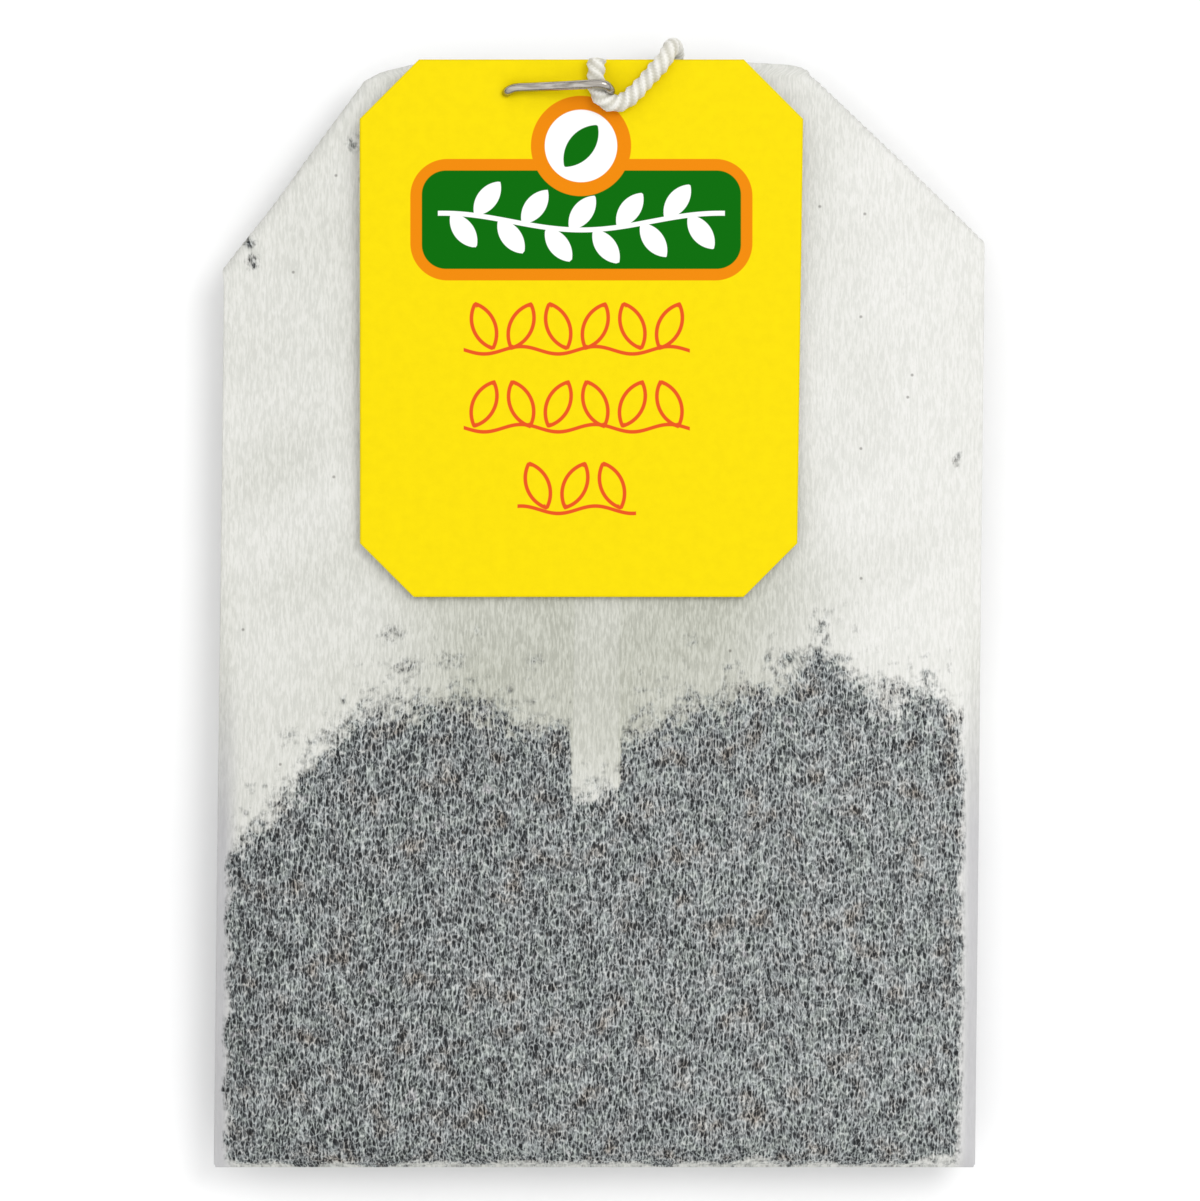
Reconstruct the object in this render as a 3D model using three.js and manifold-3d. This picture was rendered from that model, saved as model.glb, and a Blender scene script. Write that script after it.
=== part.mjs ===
// Double-chamber tea bag, lying on its back: folded filter paper, two doses of tea, thread, tag
// and two wire staples. Millimetres: X runs across the bag, Y up the bag to its folded head,
// Z up from the surface that it lies on. The origin is under the middle of the bag.
import * as THREE from 'three';
import { mergeVertices } from 'three/addons/utils/BufferGeometryUtils.js';
import Module from 'manifold-3d';

const wasm = await Module();
wasm.setup();

// Driving dimensions: the folded paper
const width = 41;
const height = 60;
const midPlane = 3.2; // level of the slot between the two chambers
const ply = 0.06; // one thickness of filter paper
const plyGap = 0.03; // air left between two plies that lie together
const frontFill = 2.4; // thickness of the filled front chamber
const chamberGap = 0.3; // half the room that the tucked bottom needs between the chambers
const plateau = { halfWidth: 12, low: -25, high: -13 }; // where a chamber is at its thickest
const fillTop = 3; // where the chambers have thinned out to bare paper
const seam = { halfWidth: 1.4, plies: 0.1 }; // lengthwise folded seam, on each inner face
const chamberTop = 18.3; // above this the two tubes lie flat together as one stack
const footInset = 0.17; // from the bag's lowest edge up to the chambers' lowest
const tuckDepth = 9; // how far the bottom is folded up between the chambers
const flapDepth = 8.5; // how far the head is folded down over the back
const shoulders = {
  left: { side: 18.8, top: -12.2 },
  right: { side: 19.9, top: 10.5 },
};

// Driving dimensions: tea, tag, staples and thread
const teaClearance = 0.15;
const wallInset = 0.25; // keeps the steep rims of the chambers as thick as the rest
const tag = {
  left: -12.9, right: 11.0, top: 29.8, bottom: 0.84, taper: 0.3, corner: 3.2, lowCorner: 2.9,
  thickness: 0.28, lift: 3.64, tilt: 0.016,
};
const wire = { diameter: 0.5, sides: 8, hole: 1.0 };
const thread = { diameter: 0.9, sides: 8 };
const coil = { x: 1.5, y: 9.5, inner: 4.1, outer: 5.9, low: 0.05, high: 1.85 };

// Worked out from them
const side = width / 2;
const end = height / 2;
const backFill = midPlane - chamberGap; // the back chamber reaches down to the surface
const thinTube = 2 * ply + plyGap;
const stack = thinTube + plyGap / 2; // half the thickness of all four plies
const overlap = 0.02; // by which joined pieces of paper run into each other
const shortEdge = 0.004; // edges shorter than this are merged at the end
const seamAt = (x) => (Math.abs(x) < seam.halfWidth ? seam.plies : 0);

// A closed geometry as a manifold solid, and back again
function solid(geometry) {
  const bare = geometry.clone();
  bare.deleteAttribute('normal');
  bare.deleteAttribute('uv');
  const merged = mergeVertices(bare, 1e-4);
  const vertProperties = Float32Array.from(merged.attributes.position.array);
  const triVerts = Uint32Array.from(merged.index.array);
  return new wasm.Manifold(new wasm.Mesh({ numProp: 3, vertProperties, triVerts }));
}

function geometryOf(manifold) {
  const { vertProperties, triVerts } = manifold.getMesh();
  const geometry = new THREE.BufferGeometry();
  geometry.setAttribute('position', new THREE.BufferAttribute(vertProperties, 3));
  geometry.setIndex(new THREE.BufferAttribute(triVerts, 1));
  geometry.computeVertexNormals();
  return geometry;
}

const union = (solids) => solids.reduce((whole, next) => whole.add(next));

// Flat plate with the outline that the points give, between two levels
function plate(points, low, high) {
  const outline = new THREE.Shape(points.map(([x, y]) => new THREE.Vector2(x, y)));
  const geometry = new THREE.ExtrudeGeometry(outline, { depth: high - low, bevelEnabled: false });
  return geometry.translate(0, 0, low);
}

// Half-round fold along a line, bulging to the left of the way from start to stop
function foldAlong(start, stop, level, innerRadius, outerRadius) {
  const section = new THREE.Shape();
  section.absarc(0, 0, outerRadius, -Math.PI / 2, Math.PI / 2, false);
  section.absarc(0, 0, innerRadius, Math.PI / 2, -Math.PI / 2, true);
  const along = new THREE.Vector3(stop[0] - start[0], stop[1] - start[1], 0);
  const depth = along.length();
  along.normalize();
  const outward = new THREE.Vector3(-along.y, along.x, 0);
  const place = new THREE.Matrix4().makeBasis(outward, new THREE.Vector3(0, 0, 1), along);
  place.setPosition(start[0], start[1], level);
  const geometry = new THREE.ExtrudeGeometry(section, { depth, bevelEnabled: false, curveSegments: 8 });
  return geometry.applyMatrix4(place);
}

// Closed solid between two height fields over a grid of columns and rows; yAt gives a row's place
// at each column
function slab(columns, rows, yAt, lowAt, highAt) {
  const positions = [];
  for (const levelAt of [highAt, lowAt]) {
    for (const row of rows) {
      for (const x of columns) {
        const y = yAt(x, row);
        positions.push(x, y, levelAt(x, y));
      }
    }
  }
  const across = columns.length;
  const layer = across * rows.length;
  const faces = [];
  const quad = (a, b, c, d) => faces.push(a, b, c, a, c, d);
  for (let j = 0; j + 1 < rows.length; j += 1) {
    for (let i = 0; i + 1 < across; i += 1) {
      const a = j * across + i;
      quad(a, a + 1, a + across + 1, a + across);
      quad(layer + a, layer + a + across, layer + a + across + 1, layer + a + 1);
    }
  }
  for (let i = 0; i + 1 < across; i += 1) {
    const far = layer - across + i;
    quad(i + 1, i, layer + i, layer + i + 1);
    quad(far, far + 1, layer + far + 1, layer + far);
  }
  for (let j = 0; j + 1 < rows.length; j += 1) {
    const left = j * across;
    const right = left + across - 1;
    quad(left, left + across, layer + left + across, layer + left);
    quad(right + across, right, layer + right, layer + right + across);
  }
  const geometry = new THREE.BufferGeometry();
  geometry.setAttribute('position', new THREE.Float32BufferAttribute(positions, 3));
  geometry.setIndex(faces);
  return geometry;
}

// Round wire or thread along a smooth curve through the points
function roundAlong(points, diameter, sides, steps) {
  const section = new THREE.Shape();
  for (let k = 0; k < sides; k += 1) {
    const turn = (2 * Math.PI * (k + 0.5)) / sides;
    const x = (diameter / 2) * Math.cos(turn);
    const y = (diameter / 2) * Math.sin(turn);
    if (k === 0) section.moveTo(x, y);
    else section.lineTo(x, y);
  }
  section.closePath();
  const route = new THREE.CatmullRomCurve3(points.map((point) => new THREE.Vector3(...point)));
  return new THREE.ExtrudeGeometry(section, { extrudePath: route, steps, bevelEnabled: false });
}

function mesh(name, geometry, colour, roughness, metalness = 0) {
  const material = new THREE.MeshStandardMaterial({ color: colour, roughness, metalness });
  const piece = new THREE.Mesh(geometry, material);
  piece.name = name;
  return piece;
}

// How full a chamber is at a place, from 0 at its edges to 1 where it is thickest; what lies
// inside its walls swells a little less far out, by the inset
const { smoothstep, clamp } = THREE.MathUtils;
function fullness(x, y, inset) {
  const reach = side - 0.1 - inset - plateau.halfWidth;
  const outside = clamp((Math.abs(x) - plateau.halfWidth) / reach, 0, 1);
  const across = Math.sqrt(1 - outside * outside);
  const below = clamp((plateau.low - y) / (plateau.low + end - 0.2 - inset), 0, 1);
  const along = Math.sqrt(1 - below * below) * (1 - smoothstep(y, plateau.high, fillTop));
  return across * along;
}

// Levels of one chamber's inner and outer face; way is 1 for the front chamber, -1 for the back
function innerFace(way, y) {
  const half = plyGap / 2 + (chamberGap - plyGap / 2) * (1 - smoothstep(y, plateau.high, fillTop));
  return midPlane + way * half;
}

function outerFace(way, x, y, inset = 0) {
  const fill = way > 0 ? frontFill : backFill;
  const bare = thinTube + seamAt(x);
  const thick = thinTube + (fill - thinTube) * fullness(x, y, inset);
  return innerFace(way, y) + way * Math.max(bare, thick);
}

const halfColumns = [1.3, 1.5, 6.5, 12, 14.5, 16.5, 18, 19.3, 20.1];
const columnsTo = (edge) => [-edge, ...halfColumns.map((x) => -x).reverse(), 0, ...halfColumns, edge];
const rowsFrom = (low, high) => [
  low, -29.3, -28.3, -26.8, plateau.low, -19, plateau.high, -10.5, -8, -5.5, -3, -0.5, 1, fillTop, high,
];
const asGiven = (x, row) => row;

// One chamber: a flattened tube of paper with a folded seam along its inner face
function chamber(way) {
  const faces = (low, high) => (way > 0 ? [low, high] : [high, low]);
  const outside = faces((x, y) => innerFace(way, y), (x, y) => outerFace(way, x, y));
  const inside = faces(
    (x, y) => innerFace(way, y) + way * (ply + seamAt(x)),
    (x, y) => outerFace(way, x, y, wallInset) - way * ply,
  );
  const skin = solid(slab(columnsTo(side), rowsFrom(-end + footInset, chamberTop), asGiven, ...outside));
  const room = solid(slab(columnsTo(side - ply), rowsFrom(-end + footInset + ply, chamberTop - 0.3), asGiven, ...inside));
  return skin.subtract(room);
}

// The bottom is folded up between the chambers, as a W
function tuckedBottom() {
  const foldLine = -end + 0.185;
  const tuckTop = -end + tuckDepth;
  const reach = side - 0.05;
  const levels = [1, -1].map((way) => [midPlane + way * 0.08, midPlane + way * 0.23].sort());
  const outline = [[-reach, foldLine - overlap], [reach, foldLine - overlap],
    [reach, tuckTop + overlap], [-reach, tuckTop + overlap]];
  const legs = levels.map(([low, high]) => solid(plate(outline, low, high)));
  const lowFolds = [1, -1].map((way) => solid(
    foldAlong([reach, foldLine], [-reach, foldLine], midPlane + way * 0.265, 0.035, 0.185),
  ));
  const topFold = solid(foldAlong([-reach, tuckTop], [reach, tuckTop], midPlane, 0.08, 0.23));
  return union([...legs, ...lowFolds, topFold]);
}

// The head: both corners are folded to the back, then the top is folded down over them
const fold = { corner: 0.25, top: 0.75 }; // radius of each fold at the middle of its stack
const creaseRadius = { inner: fold.corner - stack, outer: fold.corner + stack };
const topRadius = { inner: fold.top - stack, outer: fold.top + stack };
const topArc = Math.PI * fold.top;
const topFoldLine = end - topRadius.outer;
const tip = 2 * topFoldLine - (end - flapDepth) + topArc;
const levelsAt = (offset) => [midPlane + offset - stack, midPlane + offset + stack];

const xOnLine = ([ax, ay], [bx, by], y) => ax + ((bx - ax) * (y - ay)) / (by - ay);

function reflect([x, y], [ax, ay], [bx, by]) {
  const dx = bx - ax;
  const dy = by - ay;
  const along = ((x - ax) * dx + (y - ay) * dy) / (dx * dx + dy * dy);
  return [2 * (ax + along * dx) - x, 2 * (ay + along * dy) - y];
}

// A crease line, moved in from the outline by the fold's outer radius; way is -1 left, 1 right
function creaseLine({ side: low, top }, way) {
  const start = new THREE.Vector2(way * side, low);
  const stop = new THREE.Vector2(top, end);
  const inward = stop.clone().sub(start).normalize();
  inward.set(-way * inward.y, way * inward.x).multiplyScalar(creaseRadius.outer);
  start.add(inward);
  stop.add(inward);
  return [start.toArray(), stop.toArray()];
}

// Part of a polygon on one side of the top fold, with the far side mirrored on to the back
function cutAtFold(points, above, arc) {
  const line = above ? topFoldLine + arc : topFoldLine;
  const keep = ([, y]) => (above ? y >= line : y <= line);
  const kept = [];
  points.forEach((point, k) => {
    const next = points[(k + 1) % points.length];
    if (keep(point)) kept.push(point);
    if (keep(point) !== keep(next)) kept.push([xOnLine(point, next, line), line]);
  });
  return above ? kept.map(([x, y]) => [x, topFoldLine + line - y]).reverse() : kept;
}

function foldedCorner(shoulder, way) {
  const [start, stop] = creaseLine(shoulder, way);
  const crossing = (y) => [xOnLine(start, stop, y), y];
  const corner = reflect([way * side, tip], start, stop);
  const triangle = [crossing(start[1]), crossing(tip), corner];
  const below = cutAtFold(triangle, false, 0);
  const above = cutAtFold(triangle, true, Math.PI * fold.corner);
  const ends = above.map(([x]) => x);
  const along = (from, to, level) => (way > 0
    ? foldAlong(to, from, level, creaseRadius.inner, creaseRadius.outer)
    : foldAlong(from, to, level, creaseRadius.inner, creaseRadius.outer));
  const mirrored = (y) => [crossing(y)[0], 2 * topFoldLine + topArc - y];
  const wide = [Math.min(...ends), Math.max(...ends)];
  const inFold = wide.map((x) => [x, topFoldLine]);
  return [
    solid(plate(below, ...levelsAt(-2 * fold.corner))),
    solid(plate(above, ...levelsAt(2 * fold.corner - 2 * fold.top))),
    solid(along(start, crossing(topFoldLine), midPlane - fold.corner)),
    solid(along(mirrored(tip), mirrored(topFoldLine + topArc), midPlane - 2 * fold.top + fold.corner)),
    solid(foldAlong(inFold[0], inFold[1], midPlane - fold.top, creaseRadius.inner, creaseRadius.outer)),
  ];
}

function head() {
  const [leftLow, leftHigh] = creaseLine(shoulders.left, -1);
  const [rightLow, rightHigh] = creaseLine(shoulders.right, 1);
  const leftAt = (y) => [xOnLine(leftLow, leftHigh, y), y];
  const rightAt = (y) => [xOnLine(rightLow, rightHigh, y), y];
  const panel = [[-side, chamberTop - 0.8], [side, chamberTop - 0.8], [side, rightLow[1]], rightLow, rightAt(topFoldLine + overlap),
    leftAt(topFoldLine + overlap), leftLow, [-side, leftLow[1]]];
  const flap = cutAtFold([leftAt(20), rightAt(20), rightAt(tip), leftAt(tip)], true, topArc);
  const reach = [leftAt(topFoldLine)[0], rightAt(topFoldLine)[0]];
  return union([
    solid(plate(panel, ...levelsAt(0))),
    solid(plate(flap, ...levelsAt(-2 * fold.top))),
    solid(foldAlong([reach[0], topFoldLine], [reach[1], topFoldLine], midPlane - fold.top,
      topRadius.inner, topRadius.outer)),
    ...foldedCorner(shoulders.left, -1),
    ...foldedCorner(shoulders.right, 1),
  ]);
}

// Staple on the bag: the crown is on the back, over the thread, and the legs turn in on the front
const bagStaple = { y: 25.4, halfCrown: 2.5, crown: 0.37, clinch: 3.66, legReach: 1.7 };

function filterPaper() {
  // the lengthwise seam isn't closed along one edge, and leaves a slit between the chambers
  const slit = solid(plate([[1, 4], [1.15, 4], [1.15, 16], [1, 16]], midPlane - 0.19, midPlane + 0.19));
  const holes = [-1, 1].map((way) => {
    const hole = new THREE.CylinderGeometry(wire.hole / 2, wire.hole / 2, 3, 12);
    hole.rotateX(Math.PI / 2).translate(way * bagStaple.halfCrown, bagStaple.y, midPlane - 0.5);
    return solid(hole);
  });
  const paper = union([chamber(1), chamber(-1), tuckedBottom(), head()]);
  const cut = paper.subtract(union([slit, ...holes])).simplify(shortEdge);
  return mesh('filter_paper', geometryOf(cut), 0xe6e6df, 0.85);
}

// A dose of tea fills its chamber up to a heaped edge, which the spline gives across the bag
function tea(name, way, heapPoints) {
  const heap = new THREE.SplineCurve(heapPoints.map(([x, y]) => new THREE.Vector2(x, y)));
  const profile = heap.getPoints(120);
  const heapAt = (x) => {
    const next = profile.findIndex((point) => point.x >= x);
    const [b, a] = [profile[Math.max(next, 1)], profile[Math.max(next, 1) - 1]];
    return xOnLine([a.y, a.x], [b.y, b.x], x);
  };
  const inset = ply + teaClearance;
  const low = (x, y) => innerFace(way, y) + way * inset;
  const high = (x, y) => outerFace(way, x, y, 2 * wallInset) - way * inset;
  const half = [1.5, 4, 6.5, 9, 12, 14.5, 16.5, 18, 19.1];
  const columns = [...half.map((x) => -x).reverse(), 0, ...half];
  const rows = [0, 0.03, 0.08, 0.15, 0.25, 0.4, 0.55, 0.7, 0.8, 0.9, 1];
  const yAt = (x, row) => THREE.MathUtils.lerp(-end + 0.9, heapAt(x), row);
  const levels = way > 0 ? [low, high] : [high, low];
  return mesh(name, slab(columns, rows, yAt, ...levels), 0x3a2b20, 0.95);
}

// A staple's wire: crown between the legs, which go through and turn in on the far side
function staple(name, place, crownLeft, crownRight, clinch, legReach) {
  const way = Math.sign(clinch - crownLeft);
  const bend = 0.45;
  const { left, right, y } = place;
  const points = [
    [left + legReach, y + 0.1, clinch], [left + bend, y + 0.05, clinch],
    [left, y, clinch - way * bend], [left, y, crownLeft + way * bend],
    [left + bend, y, crownLeft], [(left + right) / 2, y, (crownLeft + crownRight) / 2],
    [right - bend, y, crownRight], [right, y, crownRight + way * bend],
    [right, y, clinch - way * bend], [right - bend, y - 0.05, clinch],
    [right - legReach, y - 0.1, clinch],
  ];
  return mesh(name, roundAlong(points, wire.diameter, wire.sides, 46), 0xb9bcc0, 0.3, 1);
}

// Tag: card with four cut corners, a little narrower at its foot, and two holes for its staple
const tagStaple = { left: -4.97, right: 0.62, y: 28.25 - tag.bottom, legReach: 2.1 };

function tagCard() {
  const { left, right, taper, corner, lowCorner, thickness } = tag;
  const tall = tag.top - tag.bottom;
  const outline = [
    [left + lowCorner, 0], [right - taper - lowCorner, 0], [right - taper, lowCorner],
    [right, tall - corner], [right - corner, tall], [left + corner, tall],
    [left, tall - corner], [left, lowCorner],
  ];
  const card = solid(plate(outline, 0, thickness));
  const holes = [tagStaple.left, tagStaple.right].map((x) => {
    const hole = new THREE.CylinderGeometry(wire.hole / 2, wire.hole / 2, 1, 12);
    return solid(hole.rotateX(Math.PI / 2).translate(x, tagStaple.y, 0));
  });
  return mesh('tag', geometryOf(card.subtract(union(holes))), 0xfae300, 0.45);
}

// The thread comes out from under the bag's staple, lies in a coil under the bare paper, goes up
// over the top of the bag and the tag, round the leg of the tag's staple, and ends bare
const bagEndRoute = [
  [-0.5, 28.3, 1.02], [-0.3, 27, 1.06], [-0.1, 25.4, 1.08], [-0.3, 23.6, 1.05], [-1, 21.4, 0.85],
  [-2, 19.2, 0.62], [-3.1, 17, 0.52], [-3.75, 15.1, 0.5], [-3.93, 13.4, 0.5],
];
const tagEndRoute = [
  [6.93, 13.4, 1.4], [6.85, 15.2, 1.38], [6.5, 17.3, 1.25], [5.9, 19.6, 0.95], [5.2, 22, 0.7],
  [4.75, 24.4, 0.58], [4.45, 27, 0.55], [4.3, 29, 0.66], [4.2, 30.15, 1.25], [4.12, 30.58, 2.3],
  [4.02, 30.58, 3.6], [3.8, 30.28, 4.6], [3.48, 29.7, 4.87], [3, 29.12, 4.87], [2.45, 28.52, 4.86],
  [1.92, 27.95, 4.86], [1.35, 27.5, 4.86], [0.75, 27.38, 4.86], [0.17, 27.65, 4.86],
  [-0.13, 28.25, 4.86], [-0.16, 29, 4.87], [-0.12, 29.75, 4.88],
];

function threadCoil() {
  const profile = [[coil.inner, coil.low], [coil.outer, coil.low], [coil.outer, coil.high],
    [coil.inner, coil.high], [coil.inner, coil.low]];
  const ring = new THREE.LatheGeometry(profile.map(([r, z]) => new THREE.Vector2(r, z)), 32);
  return mesh('thread_coil', ring, 0xf1eee4, 0.9);
}

const group = new THREE.Group();
group.add(filterPaper());
group.add(tea('tea_front_chamber', 1, [
  [-19.6, -12.6], [-16, -8.5], [-12.9, -5.2], [-7, -4.6], [-3, -6.6], [0, -9],
  [2, -6.5], [6, -4.6], [11.5, -3], [14.6, -4.2], [17.5, -5.2], [19.8, -8],
]));
group.add(tea('tea_back_chamber', -1, [
  [-19.6, -10], [-14, -6], [-8, -5], [-3, -6], [0, -7.5], [4, -6.2], [9, -4.8], [15, -6], [19.8, -9],
]));
group.add(staple('bag_staple',
  { left: -bagStaple.halfCrown, right: bagStaple.halfCrown, y: bagStaple.y },
  bagStaple.crown, bagStaple.crown, bagStaple.clinch, bagStaple.legReach));

const tagGroup = new THREE.Group();
tagGroup.position.set(0, tag.bottom, tag.lift);
tagGroup.rotation.x = tag.tilt;
tagGroup.add(tagCard());
tagGroup.add(staple('tag_staple', tagStaple, tag.thickness + 0.32, tag.thickness + 1.28, -0.32,
  tagStaple.legReach));
group.add(tagGroup);

group.add(mesh('thread_bag_end', roundAlong(bagEndRoute, thread.diameter, thread.sides, 24), 0xf1eee4, 0.9));
const ring = threadCoil();
ring.rotation.x = Math.PI / 2;
ring.position.set(coil.x, coil.y, 0);
group.add(ring);
group.add(mesh('thread_tag_end', roundAlong(tagEndRoute, thread.diameter, thread.sides, 60), 0xf1eee4, 0.9));

export default group;
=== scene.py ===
# Double-chamber tea bag lying on its back: filter paper, tea, card tag, two wire staples, cotton thread.
# Lengths below are in millimetres and become metres when a mesh is made.
import bpy
import numpy as np
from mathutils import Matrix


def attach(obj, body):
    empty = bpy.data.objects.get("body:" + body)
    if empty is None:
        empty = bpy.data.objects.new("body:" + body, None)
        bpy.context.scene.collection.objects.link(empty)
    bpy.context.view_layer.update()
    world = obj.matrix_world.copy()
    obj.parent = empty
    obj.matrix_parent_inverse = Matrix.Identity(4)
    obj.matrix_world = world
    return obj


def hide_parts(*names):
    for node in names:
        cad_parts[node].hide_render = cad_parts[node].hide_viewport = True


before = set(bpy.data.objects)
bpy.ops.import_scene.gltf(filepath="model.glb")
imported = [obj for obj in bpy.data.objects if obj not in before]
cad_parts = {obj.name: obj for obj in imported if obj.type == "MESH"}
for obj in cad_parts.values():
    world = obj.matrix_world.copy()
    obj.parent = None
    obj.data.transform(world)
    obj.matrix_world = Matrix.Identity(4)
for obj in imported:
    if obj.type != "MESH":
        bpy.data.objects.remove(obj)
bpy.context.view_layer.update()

mm = 0.001
scene = bpy.context.scene


def linear(code):
    # an sRGB hex colour as the linear values that shaders take
    srgb = np.array([int(code[k:k + 2], 16) for k in (1, 3, 5)]) / 255
    curve = np.where(srgb <= 0.04045, srgb / 12.92, ((srgb + 0.055) / 1.055) ** 2.4)
    return (*curve.tolist(), 1.0)


def addNode(tree, kind, inputs=None, **settings):
    # one shader node; an input takes either a value or another node's output socket
    node = tree.nodes.new("ShaderNode" + kind)
    for key, value in settings.items():
        setattr(node, key, value)
    for key, value in (inputs or {}).items():
        if isinstance(value, bpy.types.NodeSocket):
            tree.links.new(value, node.inputs[key])
        else:
            node.inputs[key].default_value = value
    return node


def colourRamp(tree, factor, stops):
    # stops are (place, hex colour)
    node = addNode(tree, "ValToRGB", {"Fac": factor})
    ramp = node.color_ramp
    while len(ramp.elements) < len(stops):
        ramp.elements.new(0.5)
    for element, (place, code) in zip(ramp.elements, stops):
        element.position = place
        element.color = linear(code)
    return node.outputs["Color"]


def newMaterial(name):
    # an empty material: its tree, and the surface shader that its look is plugged into
    material = bpy.data.materials.new(name)
    material.use_nodes = True
    tree = material.node_tree
    tree.nodes.clear()
    shader = addNode(tree, "BsdfPrincipled")
    output = addNode(tree, "OutputMaterial", {"Surface": shader.outputs["BSDF"]})
    output.location = (300, 0)
    return material, tree, shader


def smoothStep(value, low, high):
    # 0 below low, 1 above high, and an S between them
    t = np.clip((value - low) / (high - low), 0, 1)
    return t * t * (3 - 2 * t)


def gridFaces(rows, columns, wrap=False):
    # the quads of a grid of points stored row by row; wrap joins the last column to the first
    row = np.arange(rows - 1)[:, None]
    column = np.arange(columns if wrap else columns - 1)[None, :]
    after = (column + 1) % columns
    corners = (row * columns + column, row * columns + after,
               (row + 1) * columns + after, (row + 1) * columns + column)
    return np.stack([np.broadcast_to(c, corners[0].shape) for c in corners], axis=-1).reshape(-1, 4)


def makePiece(name, points, faces, materials, smooth=True):
    # points in mm, and faces as an array or as lists of corners, become an object whose place is in its mesh
    mesh = bpy.data.meshes.new(name)
    mesh.from_pydata((np.asarray(points).reshape(-1, 3) * mm).tolist(), [],
                     faces if isinstance(faces, list) else faces.tolist())
    for material in materials:
        mesh.materials.append(material)
    mesh.polygons.foreach_set("use_smooth", np.full(len(mesh.polygons), smooth))
    mesh.update()
    piece = bpy.data.objects.new(name, mesh)
    scene.collection.objects.link(piece)
    return piece


def setAttribute(piece, name, values):
    # a value or a place for each point of a piece, for its material to read
    isPlace = values.ndim == 3
    attribute = piece.data.attributes.new(name, "FLOAT_VECTOR" if isPlace else "FLOAT", "POINT")
    attribute.data.foreach_set("vector" if isPlace else "value", values.ravel())


def smoothNoise(x, y, size, seed):
    # rolling noise from -1 to 1: sines of one wavelength, crossing at many angles
    draw = np.random.default_rng(seed)
    turn = draw.uniform(0, 2 * np.pi, 9)
    phase = draw.uniform(0, 2 * np.pi, 9)
    length = size * draw.uniform(0.75, 1.35, 9)
    total = np.zeros(np.broadcast(x, y).shape)
    for k in range(9):
        total += np.sin(2 * np.pi * (x * np.cos(turn[k]) + y * np.sin(turn[k])) / length[k] + phase[k])
    return total / 4.2


def smoothRoute(points, spacing):
    # centripetal Catmull-Rom curve through the points, then walked in even steps of the spacing
    p = np.vstack([2 * points[0] - points[1], points, 2 * points[-1] - points[-2]])
    knot = np.concatenate([[0], np.cumsum(np.linalg.norm(np.diff(p, axis=0), axis=1) ** 0.5)])
    fine = []
    for k in range(1, len(p) - 2):
        t0, t1, t2, t3 = knot[k - 1:k + 3]
        t = np.linspace(t1, t2, 24, endpoint=False)[:, None]
        a1 = ((t1 - t) * p[k - 1] + (t - t0) * p[k]) / (t1 - t0)
        a2 = ((t2 - t) * p[k] + (t - t1) * p[k + 1]) / (t2 - t1)
        a3 = ((t3 - t) * p[k + 1] + (t - t2) * p[k + 2]) / (t3 - t2)
        b1 = ((t2 - t) * a1 + (t - t0) * a2) / (t2 - t0)
        b2 = ((t3 - t) * a2 + (t - t1) * a3) / (t3 - t1)
        fine.append(((t2 - t) * b1 + (t - t1) * b2) / (t2 - t1))
    fine = np.vstack(fine + [points[-1:]])
    way = np.concatenate([[0], np.cumsum(np.linalg.norm(np.diff(fine, axis=0), axis=1))])
    steps = np.linspace(0, way[-1], int(way[-1] / spacing) + 1)
    return np.stack([np.interp(steps, way, fine[:, axis]) for axis in range(3)], axis=1), steps


def frameAlong(route):
    # tangent and two cross directions at each point, turned on from point to point without twist
    tangent = np.gradient(route, axis=0)
    tangent /= np.linalg.norm(tangent, axis=1, keepdims=True)
    first = np.zeros_like(route)
    first[0] = np.cross(tangent[0], (0, 0, 1))
    first[0] /= np.linalg.norm(first[0])
    for k in range(1, len(route)):  # each step only takes out what leans along the new tangent
        carried = first[k - 1] - tangent[k] * (first[k - 1] @ tangent[k])
        first[k] = carried / np.linalg.norm(carried)
    return tangent, first, np.cross(tangent, first)


def sweptTube(name, route, radiusAt, sides, materials, squash=None):
    # a section carried along a route: centre + radius x (cosine x first + sine x second cross direction),
    # with the radius a function of row and angle; a low cone closes each end, and squash lowers its height
    tangent, first, second = frameAlong(route)
    angle = np.linspace(0, 2 * np.pi, sides, endpoint=False)
    radius = radiusAt(np.arange(len(route))[:, None], angle[None, :])
    across = radius[..., None] * (np.cos(angle)[None, :, None] * first[:, None]
                                  + np.sin(angle)[None, :, None] * second[:, None])
    if squash is not None:
        across[..., 2] *= squash[:, None]
    points = (route[:, None] + across).reshape(-1, 3)
    count = len(points)
    coneHeight = 0.25  # as a share of the radius
    points = np.vstack([points, route[0] - tangent[0] * radius[0].mean() * coneHeight,
                        route[-1] + tangent[-1] * radius[-1].mean() * coneHeight])
    ring = np.arange(sides)
    after = (ring + 1) % sides
    last = count - sides
    start = np.stack([np.full(sides, count), after, ring], axis=1)
    stop = np.stack([np.full(sides, count + 1), last + ring, last + after], axis=1)
    faces = gridFaces(len(route), sides, wrap=True).tolist() + start.tolist() + stop.tolist()
    return makePiece(name, points, faces, materials)


view = {"lens": 135, "sensor": 36, "width": 64.8, "x": 0.054, "y": 0.648, "plane": 4.0}
light = {
    "top": "#ffffff", "rim": "#54575c", "strength": 1.12,
    "keyPower": 0.6, "keySize": 0.24, "keyPlace": (0.20, 0.16, 0.42), "keyAim": (-0.16, 0.42, 0.20, 0.45),
}
table = {"reach": 600, "level": -0.02, "dark": "#f6f6f6", "pale": "#fafafa"}


def addCamera():
    # straight above the middle: its distance to the plane is the width seen there x lens / sensor
    camera = bpy.data.objects.new("camera", bpy.data.cameras.new("camera"))
    camera.data.lens = view["lens"]
    camera.data.sensor_width = view["sensor"]
    camera.data.clip_start = 0.01
    distance = view["width"] * view["lens"] / view["sensor"]
    camera.location = (view["x"] * mm, view["y"] * mm, (view["plane"] + distance) * mm)
    scene.collection.objects.link(camera)
    scene.camera = camera


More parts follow.
